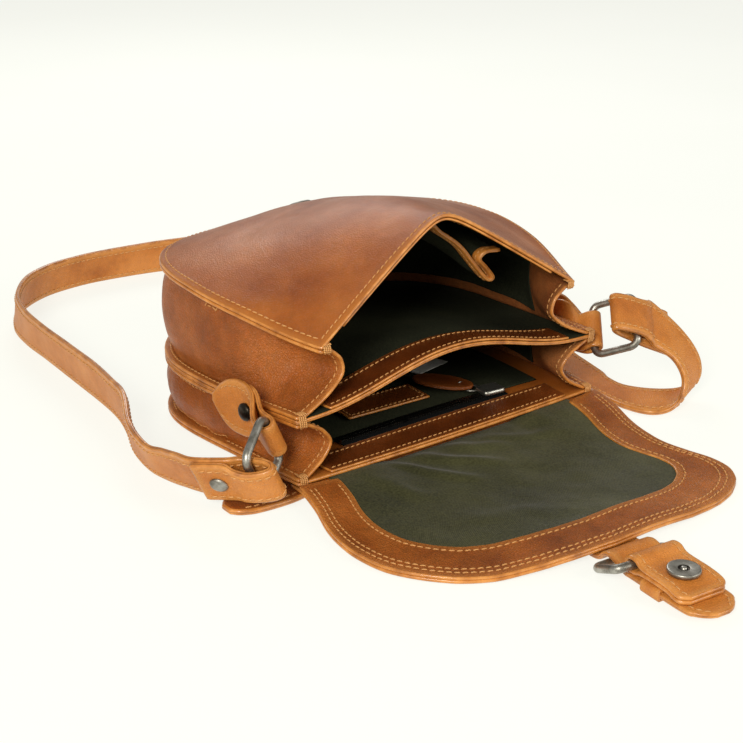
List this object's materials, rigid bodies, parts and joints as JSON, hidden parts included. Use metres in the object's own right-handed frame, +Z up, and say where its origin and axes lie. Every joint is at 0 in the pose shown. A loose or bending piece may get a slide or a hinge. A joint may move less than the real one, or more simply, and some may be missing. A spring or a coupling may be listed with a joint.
{
  "type": "leather shoulder bag",
  "caption": "Leather shoulder bag lying open on its back: flap laid out flat, two gusseted compartments, ring tabs, and a long strap looped behind.",
  "frame": {"origin": "middle of the bag's opening, on the flat underside of the flap, which is the plane the bag lies on", "axes": "+X across the bag from the left ring to the right ring, +Y from the opening to the curved bottom with the flap reaching to -Y, +Z up"},
  "size_m": [0.3076, 0.5571, 0.1228],
  "materials": {
    "leather_tan": "oiled, with paler rubbed edges",
    "leather_light": "oiled, paler",
    "leather_dark": "smooth, dark",
    "cloth_green": "woven, olive",
    "cloth_white": "woven, white",
    "zip_black": "woven tape with teeth",
    "nickel": "antique nickel"
  },
  "bodies": {
    "root": {"front_panel": "leather_tan", "back_panel": "leather_tan", "front_gusset": "leather_tan", "back_gusset": "leather_tan", "flap": "leather_tan", "flap_border": "leather_tan", "pocket_binding": "leather_tan", "patch": "leather_tan", "flap_strap": "leather_light", "magnet_tab": "leather_light", "closure_keeper": "leather_light", "left_ring_tab": "leather_light", "right_ring_tab": "leather_light", "left_strap": "leather_light", "right_strap": "leather_light", "strap_end": "leather_light", "front_facing": "leather_dark", "divider_facing": "leather_dark", "back_facing": "leather_dark", "zip_puller": "leather_dark", "divider": "cloth_green", "front_lining": "cloth_green", "front_gusset_lining": "cloth_green", "back_gusset_lining": "cloth_green", "back_lining": "cloth_green", "slip_pocket": "cloth_green", "flap_lining": "cloth_green", "care_label": "cloth_white", "zip": "zip_black", "zip_slider": "nickel", "zip_ring": "nickel", "front_snap": "nickel", "flap_buckle": "nickel", "snap_magnet": "nickel", "left_ring": "nickel", "right_ring": "nickel", "left_tab_rivet": "nickel", "right_tab_rivet": "nickel", "left_strap_rivet": "nickel", "right_strap_rivet": "nickel", "strap_buckle": "nickel"}
  },
  "joints": []
}
